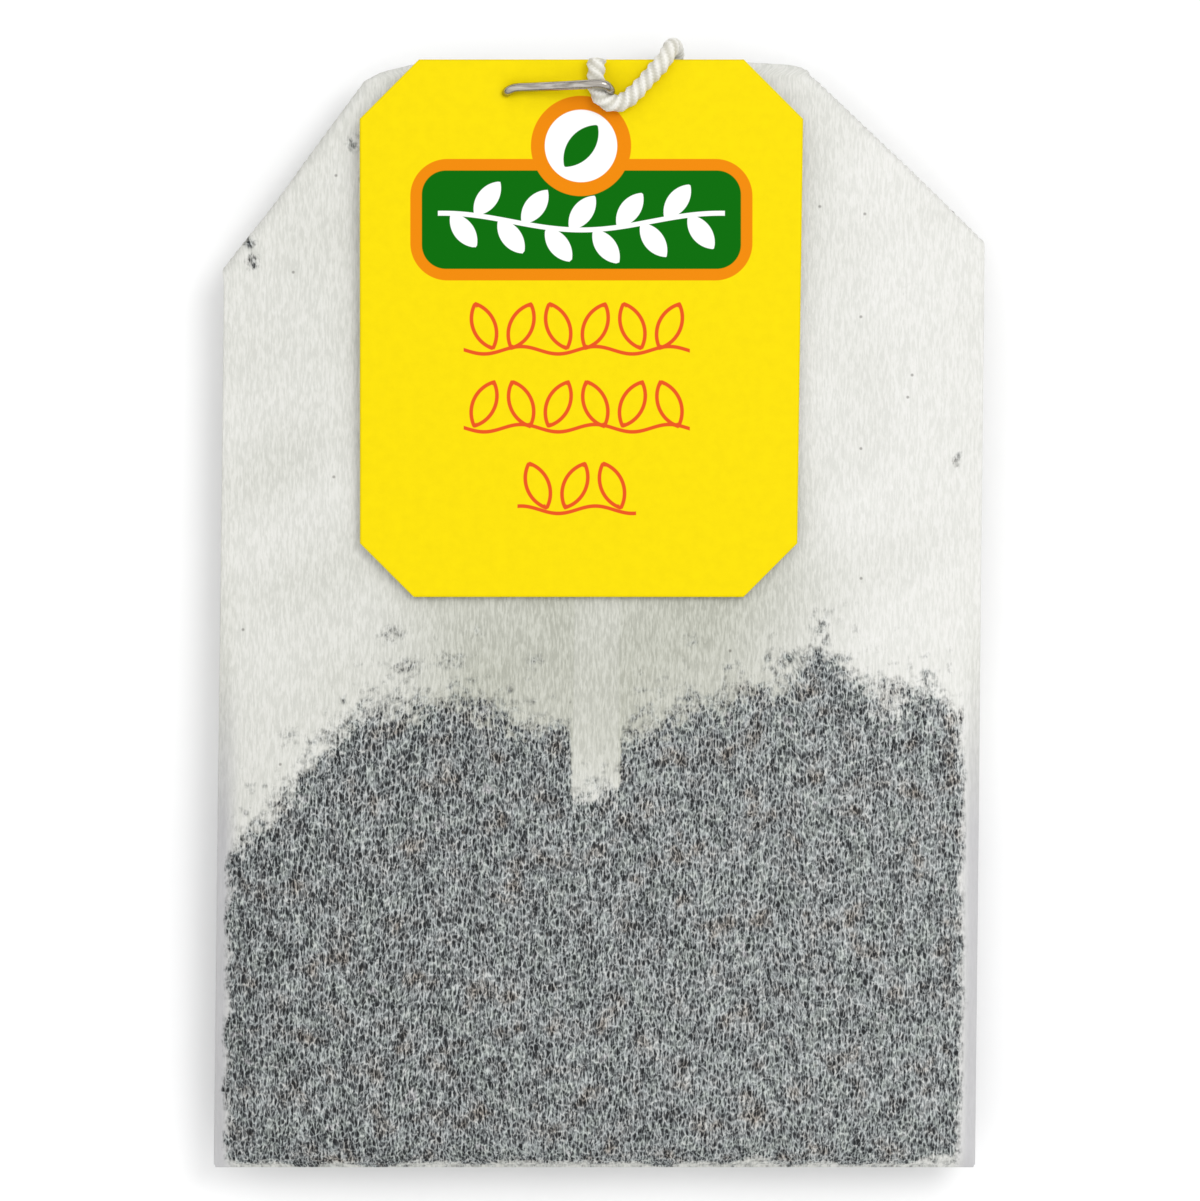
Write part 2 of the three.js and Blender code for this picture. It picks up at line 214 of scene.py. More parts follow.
def addLight():
    # a pale dome, brighter overhead than at the horizon, and one wide soft lamp from the upper right
    world = bpy.data.worlds.new("studio")
    world.use_nodes = True
    tree = world.node_tree
    tree.nodes.clear()
    place = addNode(tree, "TexCoord")
    height = addNode(tree, "SeparateXYZ", {"Vector": place.outputs["Generated"]})
    dome = addNode(tree, "MapRange", {"Value": height.outputs["Z"], "From Min": 0.05, "From Max": 0.5})
    colour = colourRamp(tree, dome.outputs["Result"], [(0.0, light["rim"]), (1.0, light["top"])])
    glow = addNode(tree, "Background", {"Color": colour, "Strength": light["strength"]})
    addNode(tree, "OutputWorld", {"Surface": glow.outputs["Background"]})
    scene.world = world
    scene.view_settings.view_transform = "Standard"
    lamp = bpy.data.objects.new("softbox", bpy.data.lights.new("softbox", "AREA"))
    lamp.data.shape = "DISK"
    lamp.data.size = light["keySize"]
    lamp.data.energy = light["keyPower"]
    back, drop, side, fall = light["keyAim"]
    lamp.location = light["keyPlace"]
    lamp.rotation_euler = (np.arctan2(back, drop), np.arctan2(side, fall), 0)
    scene.collection.objects.link(lamp)


def addTable():
    # one square of plain matt white laminate, with a fine even grain
    material, tree, shader = newMaterial("matt white laminate")
    place = addNode(tree, "TexCoord")
    grain = addNode(tree, "TexNoise", {"Vector": place.outputs["Object"], "Scale": 60.0, "Detail": 4.0})
    shade = colourRamp(tree, grain.outputs["Fac"], [(0.3, table["dark"]), (0.7, table["pale"])])
    tree.links.new(shade, shader.inputs["Base Color"])
    shader.inputs["Roughness"].default_value = 0.85
    shader.inputs["Specular IOR Level"].default_value = 0.2
    reach, level = table["reach"], table["level"]
    points = [(-reach, -reach, level), (reach, -reach, level), (reach, reach, level), (-reach, reach, level)]
    makePiece("table", points, [(0, 1, 2, 3)], [material], smooth=False)


addCamera()
addLight()
addTable()
print("camera, light and table are in place")


thread = {  # three-strand white cotton
    "diameter": 0.9, "strands": 3, "pitch": 1.75, "groove": 0.80, "bulk": 1.1, "spacing": 0.11, "sides": 15,
    "coilX": 1.5, "coilY": 9.5, "outer": 5.45, "inner": 4.55, "turns": 3.5, "low": 0.5, "high": 1.4,
    "pinch": 0.22, "pinchReach": 0.55, "fray": 0.22, "frayLength": 0.9, "uneven": 0.035,
    "fibre": [(0.3, "#dedcd1"), (0.5, "#f1efe8"), (0.72, "#f9f8f4")], "grooveShade": "#c6c3b6",
}
# the two free ends of the route, from the bag's staple to the coil and from the coil to the tag's staple
bagEndRoute = np.array([
    [-0.5, 28.3, 1.02], [-0.3, 27, 1.06], [-0.1, 25.4, 1.08], [-0.3, 23.6, 1.05], [-1, 21.4, 0.85],
    [-2, 19.2, 0.62], [-3.1, 17, 0.52], [-3.75, 15.1, 0.5], [-3.93, 13.4, 0.5]])
tagEndRoute = np.array([
    [6.93, 13.4, 1.4], [6.85, 15.2, 1.38], [6.5, 17.3, 1.25], [5.9, 19.6, 0.95], [5.2, 22, 0.7],
    [4.75, 24.4, 0.58], [4.45, 27, 0.55], [4.3, 29, 0.66], [4.2, 30.15, 1.25], [4.12, 30.58, 2.3],
    [4.02, 30.58, 3.6], [3.8, 30.28, 4.6], [3.48, 29.7, 4.87], [3, 29.12, 4.87], [2.45, 28.52, 4.86],
    [1.92, 27.95, 4.86], [1.35, 27.5, 4.86], [0.75, 27.38, 4.86], [0.17, 27.65, 4.86],
    [-0.13, 28.25, 4.86], [-0.16, 29, 4.87], [-0.12, 29.75, 4.88]])


def coilRoute():
    # round turns, counted from the left: radius and height run straight between stops given in turns, so
    # the thread goes from the outer ring to the inner one on the table, then up, and back out on top
    turn = np.arange(0, thread["turns"] + 0.01, 1 / 16)
    stops = [0, 0.75, 1.0, 1.6, 1.9, 2.5, 2.8, 3.5]
    outer, inner = thread["outer"], thread["inner"]
    radius = np.interp(turn, stops, [outer, outer, inner, inner, inner, inner, outer, outer])
    low, high = thread["low"], thread["high"]
    level = np.interp(turn, stops, [low, low, low, low, high, high, high, high])
    angle = np.pi + 2 * np.pi * turn
    return np.stack([thread["coilX"] + radius * np.cos(angle), thread["coilY"] + radius * np.sin(angle),
                     level], axis=1)


def cottonMaterial():
    # carded cotton, bleached and twisted: matt, soft white, with painted shade in the grooves and fine
    # lengthwise fibre
    material, tree, shader = newMaterial("bleached cotton thread")
    along = addNode(tree, "UVMap", uv_map="wind")
    depth = addNode(tree, "Attribute", attribute_name="groove")
    stretched = addNode(tree, "Mapping", {"Vector": along.outputs["UV"], "Scale": (26.0, 5.5, 1.0)})
    fibre = addNode(tree, "TexNoise", {"Vector": stretched.outputs["Vector"], "Scale": 1.0, "Detail": 4.0,
                                       "Roughness": 0.65, "Distortion": 0.3})
    fibreShade = colourRamp(tree, fibre.outputs["Fac"], thread["fibre"])
    # painted shade: the groove colour goes in where the strands meet
    shade = addNode(tree, "Mix", {"Factor": depth.outputs["Fac"], "A": fibreShade,
                                  "B": linear(thread["grooveShade"])}, data_type="RGBA")
    height = addNode(tree, "Bump", {"Height": fibre.outputs["Fac"], "Strength": 0.7, "Distance": 0.00006})
    tree.links.new(shade.outputs["Result"], shader.inputs["Base Color"])
    tree.links.new(height.outputs["Normal"], shader.inputs["Normal"])
    shader.inputs["Roughness"].default_value = 0.9
    shader.inputs["Specular IOR Level"].default_value = 0.15
    shader.inputs["Sheen Weight"].default_value = 0.25
    shader.inputs["Sheen Roughness"].default_value = 0.5
    return material


def strandRadius(angle):
    # outline of three round strands laid together, as a share of the thread's radius: the far side of
    # the nearest strand's circle, with the grooves between strands filled part way
    strand = np.sqrt(3) / (2 + np.sqrt(3))
    centre = 1 - strand
    sector = 2 * np.pi / thread["strands"]
    off = np.mod(angle + sector / 2, sector) - sector / 2
    outline = centre * np.cos(off) + np.sqrt(np.maximum(strand ** 2 - (centre * np.sin(off)) ** 2, 0))
    return np.maximum(outline, thread["groove"])


def makeThread():
    # the strands' outline turns once for each pitch as it goes along the route, a little uneven; it is
    # pressed flatter under each staple and opens at the cut end
    route, way = smoothRoute(np.vstack([bagEndRoute, coilRoute(), tagEndRoute]), thread["spacing"])
    half = thread["diameter"] / 2
    length = way[-1]
    pinch = np.ones(len(route))
    for where in (bagEndRoute[2], tagEndRoute[-3]):
        near = np.linalg.norm(route - where, axis=1)
        pinch -= thread["pinch"] * np.exp(-(near / thread["pinchReach"]) ** 2)
    fray = thread["fray"] * smoothStep(way, length - thread["frayLength"], length)
    twist = 2 * np.pi * way / thread["pitch"]

    def radiusAt(row, angle):
        lobes = strandRadius(angle + twist[row])
        uneven = 1 + thread["uneven"] * np.sin(way[row] * 1.9 + 3 * np.sin(way[row] * 0.53))
        return half * thread["bulk"] * lobes * uneven * (1 + fray[row] * (lobes - 0.55))

    piece = sweptTube("cotton_thread", route, radiusAt, thread["sides"], [cottonMaterial()], squash=pinch)
    sides = thread["sides"]
    rows = len(route)
    angle = np.linspace(0, 2 * np.pi, sides, endpoint=False)
    # painted shade: how deep each point lies in a groove between strands, for the material to darken
    depth = 1 - (strandRadius(angle[None, :] + twist[:, None]) - thread["groove"]) / (1 - thread["groove"])
    groove = np.append(np.clip(depth, 0, 1).ravel() ** 2, [0, 0])
    setAttribute(piece, "groove", groove)
    corner = np.empty(len(piece.data.loops), dtype=np.int32)
    piece.data.loops.foreach_get("vertex_index", corner)
    ring = np.minimum(corner // sides, rows - 1)
    column = corner % sides
    first = np.empty(len(piece.data.polygons), dtype=np.int32)
    piece.data.polygons.foreach_get("loop_start", first)
    u = column / sides
    seam = np.repeat(u[first] >= (sides - 1) / sides, np.diff(np.append(first, len(corner))))
    u = np.where(seam & (u == 0), 1.0, u) + way[ring] / thread["pitch"]
    wind = np.stack([u, way[ring] / 2.8], axis=1)
    piece.data.uv_layers.new(name="wind").data.foreach_set("uv", wind.ravel())
    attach(piece, "root")
    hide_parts("thread_bag_end", "thread_coil", "thread_tag_end")
    print("thread: %.0f mm long" % length)


makeThread()

# filter paper: one strip, closed to a tube by a lengthwise seam, folded up as a W between two chambers
paper = {
    "half": 20.42, "midPlane": 3.2, "frontFill": 2.4, "backFill": 2.9, "plyHalf": 0.045, "thickness": 0.05,
    "lean": 0.011, "stretch": 1.004, "shift": 0.08, "tip": 39.03, "bottomFold": -29.815, "tuckTop": -21.0,
    "bottomCentre": 0.265, "bottomRadius": 0.11, "tuckRadius": 0.155, "tuckShrink": 0.997,
    "seamLeft": -1.45, "seamRight": 1.1, "lap": 0.1, "faceColumns": 129, "backColumns": 35,
}
pillow = {  # the chamber's plateau ends at flat and foot; above the tea it fades out between fade and bare
    "flat": 12, "sideRun": 8.4, "foot": -25, "footRun": 4.8, "fade": -13, "bare": 3,
    "headGap": 0.045, "footGap": 0.285, "rim": 0.15, "dent": 0.10, "smallDent": 0.05, "sag": 0.12,
}
crease = {  # fold lines of the head, and how its edge sinks and moves towards the corners
    "cornerInset": 0.415, "cornerRadius": 0.25, "topLine": 29.085, "topRadius": 0.75,
    "left": ((-20.5, 18.6), (-12.2, 30.0)), "right": ((10.15, 30.0), (20.5, 20.2)),
    "drop": ([-12.9, -9.3, 7.2, 10.3], [0.95, 0.0, 0.12, 0.34]),
    "pull": ([-12, -8, 5, 9], [-0.4, 0, 0, 0.6]),
}
heap = {  # upper edge of the tea across the bag; the doubled seam hides it lower down than the single sheet
    "front": ([-20.4, -19.6, -16, -12.9, -7, -3.6, -1.5, -1.42, 1.07, 1.2, 2.4, 6, 10.2, 11.8, 13.2, 14.6,
               17.8, 19.4, 20.4],
              [-14.5, -12.6, -8.6, -4.9, -4.5, -5.8, -6.4, -9.5, -9.5, -6.6, -5.6, -4.6, -3.2, -1.6, -2.6,
               -4.4, -3.8, -5.8, -9.0]),
    "back": ([-20.4, -14, -8, -3, 0, 4, 9, 15, 20.4], [-12, -6, -5, -6, -7.5, -6.2, -4.8, -6, -10]),
}
specks = [  # crumbs of tea caught high in the bag: place, half width, half height, darkness
    (-19.05, 20.0, 0.22, 0.30, 0.9), (-18.95, 18.95, 0.28, 0.36, 1.0), (-19.5, 20.3, 0.3, 0.14, 0.5),
    (-13.5, 25.4, 0.5, 0.42, 0.45), (-13.1, 23.7, 0.2, 0.9, 0.25), (19.1, 8.25, 0.2, 0.3, 0.75),
    (-11.2, -1.2, 0.7, 0.5, 0.35), (-8.0, -2.6, 1.0, 0.4, 0.4), (-10.4, -3.0, 0.9, 0.5, 0.45),
    (-3.5, -2.7, 0.5, 0.35, 0.45), (4.9, -1.5, 0.5, 0.4, 0.3), (10.1, -2.4, 0.5, 0.35, 0.7),
    (11.9, -0.7, 0.35, 0.3, 0.7), (17.6, -3.4, 0.5, 0.35, 0.55), (16.2, 17.5, 0.2, 0.3, 0.2),
    (-6.6, -1.0, 0.4, 0.3, 0.3), (7.0, -2.9, 0.5, 0.3, 0.4), (-16.6, -6.6, 0.5, 0.3, 0.4),
]


def chamberLevels(x, y, fill):
    # how far the two plies of a chamber lie from the middle plane: the chamber is a plateau with elliptical
    # shoulders at its sides and bottom, and runs out to bare paper above the tea
    fade = 1 - smoothStep(y, pillow["fade"], pillow["bare"])
    inner = pillow["headGap"] + pillow["footGap"] * fade
    across = np.sqrt(1 - np.clip((np.abs(x) - pillow["flat"]) / pillow["sideRun"], 0, 1) ** 2)
    below = np.clip((pillow["foot"] - y) / pillow["footRun"], 0, 1)
    full = across * np.sqrt(1 - below ** 2) * fade
    return inner, inner + 2 * paper["plyHalf"] + (fill - pillow["rim"]) * full, full


def foldOver(x, y, w, line, outward, radius):
    # points past a line are carried round a half circle under the sheet and on to its back
    past = (x - line[0]) * outward[0] + (y - line[1]) * outward[1]
    turn = np.clip(past / radius, 0, np.pi)
    lying = np.maximum(past - np.pi * radius, 0)
    reach = (radius + w) * np.sin(turn) - lying
    shift = np.where(past > 0, reach - past, 0)
    level = np.where(past > 0, (radius + w) * np.cos(turn) - radius, w)
    return x + shift * outward[0], y + shift * outward[1], level


def shoulderFold(x, y, w, low, high):
    # one corner of the head goes to the back; the line runs so that the corner lies on its left
    along = np.subtract(high, low) / np.linalg.norm(np.subtract(high, low))
    outward = (-along[1], along[0])
    line = (low[0] - outward[0] * crease["cornerInset"], low[1] - outward[1] * crease["cornerInset"])
    return foldOver(x, y, w, line, outward, crease["cornerRadius"])


def stripColumns():
    # once round the flattened tube: place across, and level within the ply pair, which follows a half
    # circle round each side crease
    face = np.unique(np.concatenate([np.linspace(-1, 1, paper["faceColumns"]) * paper["half"],
                                     [paper["seamLeft"], paper["seamLeft"] + paper["lap"],
                                      paper["seamRight"], paper["seamRight"] - paper["lap"]]]))
    inner = np.linspace(1, -1, paper["backColumns"]) * paper["half"]
    turn = np.array([0.25, 0.5, 0.75]) * np.pi
    x = np.concatenate([face, paper["half"] + paper["plyHalf"] * np.sin(turn), inner,
                        -paper["half"] - paper["plyHalf"] * np.sin(turn)])
    level = np.concatenate([np.ones(len(face)), np.cos(turn), -np.ones(len(inner)), -np.cos(turn)])
    return x, level


showing = {  # how the tea's edge shows through: (amount, size) of its waves, then the rise of each share
    "wave": (0.55, 3.1), "ripple": (0.5, 1.2), "edge": (-1.4, 2.2), "haze": (-4.5, 0.5), "hazeMost": 0.42,
    "marginRight": 0.75, "marginLeft": 0.45, "crease": 20.45, "foot": 29.35, "footFade": 0.75,
}


def teaShare(x, y, edge, seed):
    # 1 where tea lies behind the paper and 0 where none does: below the heap's ragged edge, in scattered
    # crumbs above it, and less in a narrow margin along the sides and the foot
    places, heights = heap[edge]
    (wave, waveSize), (ripple, rippleSize) = showing["wave"], showing["ripple"]
    top = np.interp(x, places, heights) + wave * smoothNoise(x, y, waveSize, seed)
    top = top + ripple * smoothNoise(x, y, rippleSize, seed + 1)
    share = smoothStep(top - y, *showing["edge"])
    haze = smoothStep(top - y, *showing["haze"]) * smoothStep(smoothNoise(x, y, 1.0, seed + 2), 0.15, 0.9)
    share = np.maximum(share, showing["hazeMost"] * haze)
    margin = np.where(x > 0, showing["marginRight"], showing["marginLeft"])
    margin = margin + 0.2 * smoothNoise(y, x * 0.2, 2.2, seed + 3)
    share = share * smoothStep(showing["crease"] - np.abs(x), margin * 0.8, margin + 0.5)
    foot = showing["foot"] + 0.35 * smoothNoise(x, y * 0.2, 3.4, seed + 4) + 0.25 * smoothStep(-x, 6, 14)
    share = share * (1 - showing["footFade"] * smoothStep(-y, foot, foot + 0.35))
    if edge == "front":
        for px, py, wide, high, dark in specks:
            spot = np.exp(-((x - px) / wide) ** 2 - ((y - py) / high) ** 2)
            share = np.maximum(share, dark * spot)
    return share


# painted shade and light on the filter paper: only rolling, a random tone, and seam, the doubled paper, are
# not painted light
shading = {  # how much greyer each part of the sheet looks
    "base": 0.2, "middle": 0.78, "left": 0.10, "right": -0.20, "sides": 0.3, "rolling": 0.1, "seam": -0.22,
}


def paperShade(x, y):
    # painted shade, 0 where the sheet is palest and 1 where it looks greyest: over the slack middle above
    # the tea, partly painted shadow of the tag and partly the tea close behind, painted shade at the left
    # and along the side creases, and less at the right as painted light and over the doubled seam
    # painted shadow of the tag over the slack middle, together with the tea close behind
    middle = np.exp(-(x / 11.5) ** 4) * smoothStep(y, -13, -6) * (1 - smoothStep(y, 2, 9))
    # painted shade at the left and painted light towards the right
    left = np.exp(-((x + 17) / 5) ** 2)
    right = smoothStep(x, 8, 17)
    # painted shade along the side creases
    sides = smoothStep(-y, -6, 10) * (1 - smoothStep(20.5 - np.abs(x), 0.35, 1.1))
    shade = shading["base"] + shading["middle"] * middle + shading["left"] * left + shading["right"] * right
    shade += shading["sides"] * sides + shading["rolling"] * smoothNoise(x, y, 7, 5)
    inSeam = (x > paper["seamLeft"] + 0.05) & (x < paper["seamRight"] - 0.05)
    return np.where(inSeam & (y > -11) & (y < 3), shade + shading["seam"], shade)


def makeChamber(name, way, fill, edge, seed, material):
    # half of the folded strip, from the head's tip down to the top of the tuck; way is 1 front, -1 back.
    # s runs down the flat strip and w is the height over the middle plane: the tube is laid out with its
    # chamber blown up, then carried round the foot's fold and the tuck's, and round the head's three folds
    x, level = stripColumns()
    foldLength = np.pi * paper["bottomRadius"]
    legLength = paper["tuckTop"] - paper["bottomFold"]
    quarter = paper["tuckRadius"] * np.pi / 2
    bottom = paper["bottomFold"]
    s = np.concatenate([
        np.arange(paper["tip"], 31, -0.45), np.arange(31, 18, -0.17), np.arange(18, -3, -0.4),
        np.arange(-3, bottom + 0.1, -0.3),
        bottom - np.linspace(0, foldLength, 9), bottom - foldLength - np.linspace(0, legLength, 14)[1:],
        bottom - foldLength - legLength - np.linspace(0, quarter, 5)[1:]])
    x, s = np.meshgrid(x, s)
    level = np.broadcast_to(level, x.shape)
    inner, outer, full = chamberLevels(x, s, fill)
    dents = pillow["dent"] * (0.5 + 0.5 * smoothNoise(x, s, 4.2, seed))
    dents = dents + pillow["smallDent"] * (0.5 + 0.5 * smoothNoise(x, s, 1.3, seed + 7))
    outer = outer - full * dents
    sag = pillow["sag"] * smoothNoise(x, s, 11, 77) * smoothStep(s, 0, 8) * (1 - smoothStep(s, 20, 26))
    sag = sag * (0.25 + 0.75 * smoothStep(np.abs(x), 10, 20))
    w = way * ((inner + outer) / 2 + level * (outer - inner) / 2) + sag
    y = s.copy()

    turn = np.clip((bottom - s) / paper["bottomRadius"], 0, np.pi)  # the fold at the foot
    r = paper["bottomRadius"] + paper["plyHalf"] * level
    below = s < bottom - 1e-6
    leg = np.clip(bottom - foldLength - s, 0, legLength)
    y = np.where(below, bottom - r * np.sin(turn) + leg, y)
    w = np.where(below, way * (paper["bottomCentre"] + r * np.cos(turn)), w)
    over = np.clip((bottom - foldLength - legLength - s) / paper["tuckRadius"], 0, np.pi / 2)
    inTuck = over > 1e-6
    r = paper["tuckRadius"] - paper["plyHalf"] * level
    y = np.where(inTuck, paper["tuckTop"] + r * np.sin(over), y)
    w = np.where(inTuck, way * r * np.cos(over), w)
    across = np.where(below, x * paper["tuckShrink"], x)

    for side in ("left", "right"):
        across, y, w = shoulderFold(across, y, w, *crease[side])
    across, y, w = foldOver(across, y, w, (0, crease["topLine"]), (0, 1), crease["topRadius"])
    drop = np.interp(across, *crease["drop"])
    pull = np.interp(across, *crease["pull"])
    across = across + pull * smoothStep(y, 29.0, 29.8)
    y = y - drop * smoothStep(y, 28.7, 30)
    across = across * paper["stretch"] + paper["shift"] + paper["lean"] * y
    points = np.stack([across, y, paper["midPlane"] + w], axis=-1)

    faces = gridFaces(*x.shape, wrap=True)
    if way > 0:
        faces = faces[:, ::-1]
    piece = makePiece(name, points, faces, [material])
    strip = np.stack([x, s, 3 * (1 - level) + 11 * (1 - way)], axis=-1)
    fibres = strip.copy()  # the same, with the true run of the paper from its tip
    fibres[1:, :, 1] = s[0] - np.cumsum(np.linalg.norm(np.diff(points, axis=0), axis=2), axis=0)
    share = teaShare(x, s, edge, seed + 20) * (level > -0.5)
    setAttribute(piece, "strip", strip)
    setAttribute(piece, "fibres", fibres)
    setAttribute(piece, "teaShare", share)
    # painted shade, with the rolling tone and the lighter seam, for the material to mix in
    setAttribute(piece, "shade", paperShade(x, s))
    wall = piece.modifiers.new("ply", "SOLIDIFY")
    wall.thickness = paper["thickness"] * mm
    wall.offset = 0
    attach(piece, "root")
    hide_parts("filter_paper")
    return piece


paperLook = {
    "fibres": [  # net of fibres: turn, mesh across and along in mm, how fast a fibre fades, share of the web
        (0.03, 0.19, 0.48, 4.4, 0.38), (0.30, 0.33, 0.40, 4.0, 0.26)],
    "cloud": (0.0, 0.10, 0.60, 3.6, 0.36),  # soft upright streaks, in the same terms
    "overTea": [(0.1, "#28292a"), (0.28, "#535556"), (0.5, "#8b8d8c"), (0.72, "#aeb0af"), (0.92, "#c7c9c7")],
    "tint": [(0.30, "#f2e6dc"), (0.42, "#f6f6f6"), (0.52, "#ecf0f2"), (0.62, "#eef4f0"), (0.72, "#f4f0f4")],
    "pale": [(0.1, "#d3d3ce"), (0.45, "#d9d9d4"), (0.75, "#dddcd8"), (1.0, "#e0e0dc")],
    # painted shade: a greyer copy of the pale paper, for the shaded places
    "shadedGrey": [(0.1, "#a6a79c"), (0.45, "#b1b2a7"), (0.75, "#babbb0"), (1.0, "#c2c3b9")],
    "margin": "#bab9bd", "dust": "#4a4540",
}


def filterPaperMaterial():
    # abaca filter paper, wet-laid without coating: long fibres run up the strip and make a pale web over the
    # tea, whose crumbs show dark through the gaps; matt, and no colour of its own but a little cream
    material, tree, shader = newMaterial("abaca filter paper")
    strip = addNode(tree, "Attribute", attribute_name="strip")
    fibres = addNode(tree, "Attribute", attribute_name="fibres")
    tea = addNode(tree, "Attribute", attribute_name="teaShare")
    shade = addNode(tree, "Attribute", attribute_name="shade")
    web = 0.0
    layers = paperLook["fibres"] + [paperLook["cloud"]]
    for number, (turn, across, along, contrast, weight) in enumerate(layers):
        place = addNode(tree, "Mapping", {
            "Vector": fibres.outputs["Vector"], "Location": (number * 17.3, number * 5.1, number * 3.7),
            "Rotation": (0, 0, turn), "Scale": (1 / across, 1 / along, 1.0)})
        noise = addNode(tree, "TexNoise", {"Vector": place.outputs["Vector"], "Scale": 1.0, "Detail": 1.0,
                                           "Roughness": 0.5, "Distortion": 0.3})
        if number < len(paperLook["fibres"]):
            bent = addNode(tree, "VectorMath", {0: noise.outputs["Color"], 1: (1.3, 1.3, 0),
                                                2: place.outputs["Vector"]}, operation="MULTIPLY_ADD")
            net = addNode(tree, "TexVoronoi", {"Vector": bent.outputs["Vector"], "Scale": 1.0},
                          feature="DISTANCE_TO_EDGE", voronoi_dimensions="2D")
            value = addNode(tree, "Math", {0: net.outputs["Distance"], 1: -contrast, 2: 1.0},
                            operation="MULTIPLY_ADD", use_clamp=True)
        else:
            value = addNode(tree, "Math", {0: noise.outputs["Fac"], 1: 0.5}, operation="SUBTRACT")
            value = addNode(tree, "Math", {0: value.outputs[0], 1: contrast, 2: 0.5},
                            operation="MULTIPLY_ADD", use_clamp=True)
        cloud = value.outputs[0]
        web = addNode(tree, "Math", {0: cloud, 1: weight, 2: web}, operation="MULTIPLY_ADD").outputs[0]
    # dark crumbs, and painted light that grows towards the right, make the web over the tea thicker and
    # thinner
    crumbs = addNode(tree, "TexNoise", {"Vector": fibres.outputs["Vector"], "Scale": 1.1, "Detail": 3.0,
                                        "Roughness": 0.6})
    depth = addNode(tree, "MapRange", {"Value": crumbs.outputs["Fac"], "From Min": 0.3, "From Max": 0.7,
                                       "To Min": -0.13, "To Max": 0.13})
    axes = addNode(tree, "SeparateXYZ", {"Vector": strip.outputs["Vector"]})
    sideLight = addNode(tree, "MapRange", {"Value": axes.outputs["X"], "From Min": -20.0, "From Max": 20.0,
                                           "To Min": -0.03, "To Max": 0.04})
    seen = addNode(tree, "Math", {0: web, 1: depth.outputs["Result"]}, operation="ADD")
    seen = addNode(tree, "Math", {0: seen.outputs[0], 1: sideLight.outputs["Result"]}, operation="ADD")
    overTea = colourRamp(tree, seen.outputs[0], paperLook["overTea"])
    tint = addNode(tree, "TexNoise", {"Vector": fibres.outputs["Vector"], "Scale": 0.55, "Detail": 3.0,
                                      "Roughness": 0.6})
    tintColour = colourRamp(tree, tint.outputs["Fac"], paperLook["tint"])
    overTea = addNode(tree, "Mix", {"Factor": 1.0, "A": overTea, "B": tintColour},
                      data_type="RGBA", blend_type="MULTIPLY").outputs["Result"]
    streak = addNode(tree, "Mix", {"Factor": 0.65, "A": web, "B": cloud}, data_type="FLOAT")
    # painted shade: the bare paper goes from its pale copy to its greyer copy by the painted shade attribute
    pale = colourRamp(tree, streak.outputs["Result"], paperLook["pale"])
    shadedGrey = colourRamp(tree, streak.outputs["Result"], paperLook["shadedGrey"])
    bare = addNode(tree, "Mix", {"Factor": shade.outputs["Fac"], "A": pale, "B": shadedGrey}, data_type="RGBA")
    # where tea shows: its share, made ragged by crumbs, and more in the gaps of the web
    speckle = addNode(tree, "TexNoise", {"Vector": fibres.outputs["Vector"], "Scale": 2.6, "Detail": 2.0})
    push = addNode(tree, "MapRange", {"Value": speckle.outputs["Fac"], "From Min": 0.3, "From Max": 0.7,
                                      "To Min": -0.32, "To Max": 0.32})
    near = addNode(tree, "Math", {0: tea.outputs["Fac"], 1: 4.0}, operation="MULTIPLY", use_clamp=True)
    ragged = addNode(tree, "Math", {0: push.outputs["Result"], 1: near.outputs[0], 2: tea.outputs["Fac"]},
                     operation="MULTIPLY_ADD")
    through = addNode(tree, "MapRange", {"Value": web, "From Min": 0.2, "From Max": 0.8,
                                         "To Min": 1.35, "To Max": 0.8})
    ragged = addNode(tree, "Math", {0: ragged.outputs[0], 1: through.outputs["Result"]},
                     operation="MULTIPLY")
    share = addNode(tree, "MapRange", {"Value": ragged.outputs[0], "From Min": 0.08, "From Max": 0.92})
    # painted shade along the side creases, where two sheets with no tea between them slope away: a cool grey
    sideways = addNode(tree, "Math", {0: axes.outputs["X"]}, operation="ABSOLUTE")
    atSide = addNode(tree, "MapRange", {"Value": sideways.outputs[0], "From Min": 19.2, "From Max": 20.0})
    beside = addNode(tree, "MapRange", {"Value": axes.outputs["Y"], "From Min": -3.0, "From Max": -12.0,
                                        "To Max": 0.75})
    creaseShade = addNode(tree, "Math", {0: atSide.outputs["Result"], 1: beside.outputs["Result"]},
                     operation="MULTIPLY")
    bare = addNode(tree, "Mix", {"Factor": creaseShade.outputs[0], "A": bare.outputs["Result"],
                                 "B": linear(paperLook["margin"])}, data_type="RGBA")
    look = addNode(tree, "Mix", {"Factor": share.outputs["Result"], "A": bare.outputs["Result"],
                                 "B": overTea}, data_type="RGBA")
